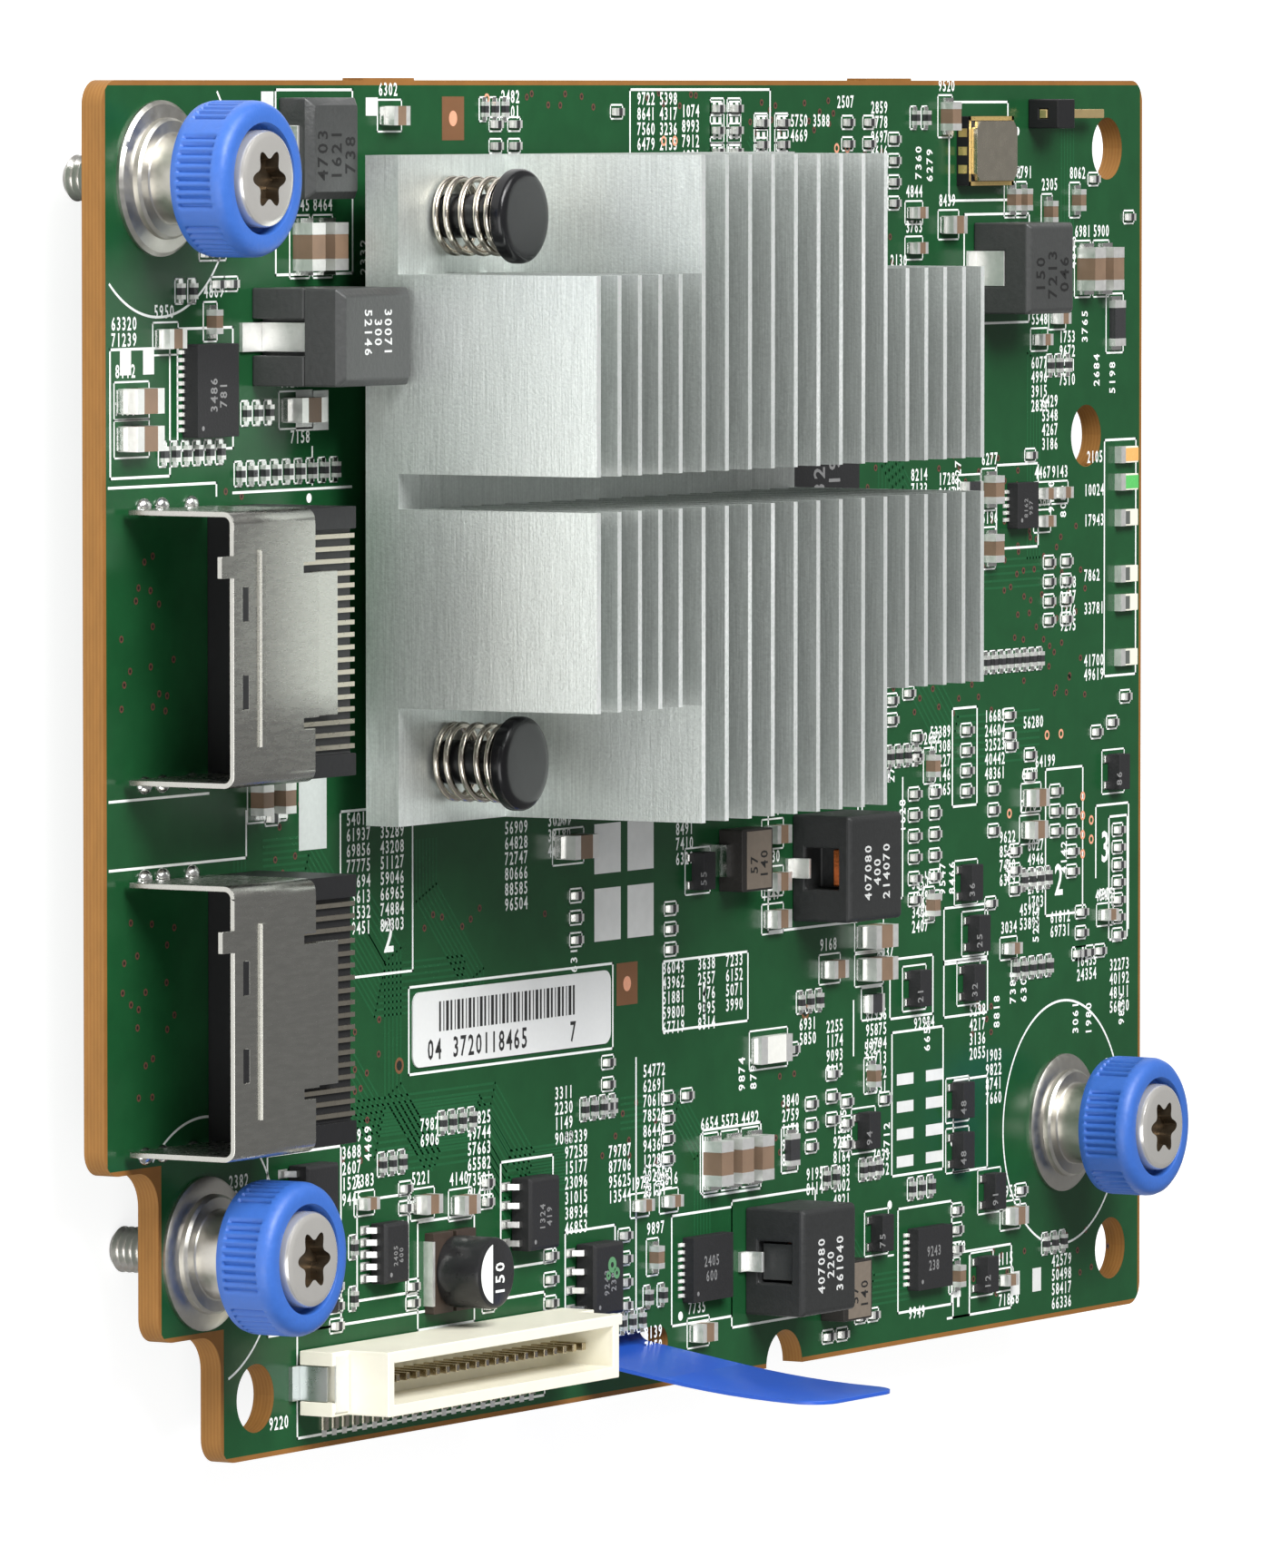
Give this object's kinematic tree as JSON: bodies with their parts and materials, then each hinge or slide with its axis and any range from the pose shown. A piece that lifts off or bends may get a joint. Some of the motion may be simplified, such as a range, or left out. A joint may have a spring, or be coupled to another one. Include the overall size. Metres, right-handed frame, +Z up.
{
  "type": "host bus adapter",
  "caption": "Host bus adapter mezzanine card: green circuit board with a finned heatsink, captive blue thumbscrews, drive connectors, a shrouded wire connector and a blue pull strip.",
  "frame": {"origin": "centre of the card's outline, on the plane that the card rests on", "axes": "+X along the card's long edge away from the drive connectors, +Z up from the component side"},
  "size_m": [0.1388, 0.0898, 0.0271],
  "materials": {
    "board": "glossy solder mask",
    "heatsink_aluminium": "satin",
    "package_black": "matte",
    "thermal_grey": "matte",
    "black_nylon": "satin",
    "nickel_spring": "bright",
    "tinned_steel": "satin",
    "zinc_steel": "satin",
    "blue_nylon": "satin",
    "plated_sheet": "satin",
    "connector_black": "satin",
    "contact_metal": "bright",
    "wire_connector_white": "satin",
    "tin_plate": "satin",
    "strip_blue": "satin film",
    "ferrite_dark": "matte",
    "copper_coil": "enamelled",
    "oscillator_black": "matte",
    "tantalum_black": "matte",
    "ceramic_tan": "satin",
    "resistor_black": "satin",
    "fuse_white": "satin",
    "lamp_clear": "clear",
    "label_white": "matte"
  },
  "bodies": {
    "card": {"circuit_board": "board", "heatsink": "heatsink_aluminium", "controller_package": "package_black", "thermal_pad": "thermal_grey", "screw_ferrule_1": "tinned_steel", "screw_ferrule_2": "tinned_steel", "screw_ferrule_3": "tinned_steel", "drive_port_shell_upper": "plated_sheet", "drive_port_housing_upper": "connector_black", "drive_port_contacts_upper": "contact_metal", "drive_port_shell_lower": "plated_sheet", "drive_port_housing_lower": "connector_black", "drive_port_contacts_lower": "contact_metal", "wire_connector_housing": "wire_connector_white", "wire_connector_contacts": "contact_metal", "wire_connector_anchors": "tin_plate", "pull_strip": "strip_blue", "low_inductor_core": "ferrite_dark", "tall_inductor_base": "ferrite_dark", "tall_inductor_cap": "ferrite_dark", "edge_inductor_core": "ferrite_dark", "power_inductor_cores": "ferrite_dark", "power_inductor_coils": "copper_coil", "inductor_leads": "tin_plate", "drum_inductor_core": "ferrite_dark", "drum_inductor_base": "tin_plate", "leaded_packages": "package_black", "package_legs": "tin_plate", "flat_packages": "package_black", "oscillator_body": "oscillator_black", "oscillator_lid": "tin_plate", "tantalum_capacitors": "tantalum_black", "transistors": "package_black", "ceramic_capacitors": "ceramic_tan", "chip_resistors": "resistor_black", "fuse": "fuse_white", "status_lamps": "lamp_clear", "pin_header": "connector_black", "header_pin": "contact_metal", "serial_label": "label_white", "host_connector": "connector_black", "host_contacts": "contact_metal"},
    "thumbscrew_1_slide": {"screw_spring_1": "nickel_spring"},
    "thumbscrew_1": {"captive_screw_1": "zinc_steel", "screw_knob_1": "blue_nylon"},
    "thumbscrew_2_slide": {"screw_spring_2": "nickel_spring"},
    "thumbscrew_2": {"captive_screw_2": "zinc_steel", "screw_knob_2": "blue_nylon"},
    "thumbscrew_3_slide": {"screw_spring_3": "nickel_spring"},
    "thumbscrew_3": {"captive_screw_3": "zinc_steel", "screw_knob_3": "blue_nylon"},
    "push_pin_body_1": {"push_pin_1": "black_nylon", "push_pin_spring_1": "nickel_spring"},
    "push_pin_body_2": {"push_pin_2": "black_nylon", "push_pin_spring_2": "nickel_spring"},
    "push_pin_body_3": {"push_pin_3": "black_nylon", "push_pin_spring_3": "nickel_spring"},
    "push_pin_body_4": {"push_pin_4": "black_nylon", "push_pin_spring_4": "nickel_spring"}
  },
  "joints": [
    {"name": "thumbscrew_1_press", "type": "slide", "parent": "card", "child": "thumbscrew_1_slide", "axis": [0, 0, -1], "range_m": [0, 0.0026], "stiffness_N_per_m": 600, "springref_m": -0.003, "deforming": ["screw_spring_1"]},
    {"name": "thumbscrew_1_turn", "type": "hinge", "parent": "thumbscrew_1_slide", "child": "thumbscrew_1", "pos_m": [-0.06282, 0.03845, 0.00657], "axis": [0, 0, 1], "continuous": true},
    {"name": "thumbscrew_2_press", "type": "slide", "parent": "card", "child": "thumbscrew_2_slide", "axis": [0, 0, -1], "range_m": [0, 0.0026], "stiffness_N_per_m": 600, "springref_m": -0.003, "deforming": ["screw_spring_2"]},
    {"name": "thumbscrew_2_turn", "type": "hinge", "parent": "thumbscrew_2_slide", "child": "thumbscrew_2", "pos_m": [-0.05767, -0.03095, 0.00657], "axis": [0, 0, 1], "continuous": true},
    {"name": "thumbscrew_3_press", "type": "slide", "parent": "card", "child": "thumbscrew_3_slide", "axis": [0, 0, -1], "range_m": [0, 0.0026], "stiffness_N_per_m": 600, "springref_m": -0.003, "deforming": ["screw_spring_3"]},
    {"name": "thumbscrew_3_turn", "type": "hinge", "parent": "thumbscrew_3_slide", "child": "thumbscrew_3", "pos_m": [0.05753, -0.03076, 0.00657], "axis": [0, 0, 1], "continuous": true},
    {"name": "push_pin_1_press", "type": "slide", "parent": "card", "child": "push_pin_body_1", "axis": [0, 0, -1], "range_m": [0, 0.0012], "stiffness_N_per_m": 2500, "springref_m": -0.002, "deforming": ["push_pin_spring_1"]},
    {"name": "push_pin_2_press", "type": "slide", "parent": "card", "child": "push_pin_body_2", "axis": [0, 0, -1], "range_m": [0, 0.0012], "stiffness_N_per_m": 2500, "springref_m": -0.002, "deforming": ["push_pin_spring_2"]},
    {"name": "push_pin_3_press", "type": "slide", "parent": "card", "child": "push_pin_body_3", "axis": [0, 0, -1], "range_m": [0, 0.0012], "stiffness_N_per_m": 2500, "springref_m": -0.002, "deforming": ["push_pin_spring_3"]},
    {"name": "push_pin_4_press", "type": "slide", "parent": "card", "child": "push_pin_body_4", "axis": [0, 0, -1], "range_m": [0, 0.0012], "stiffness_N_per_m": 2500, "springref_m": -0.002, "deforming": ["push_pin_spring_4"]}
  ]
}
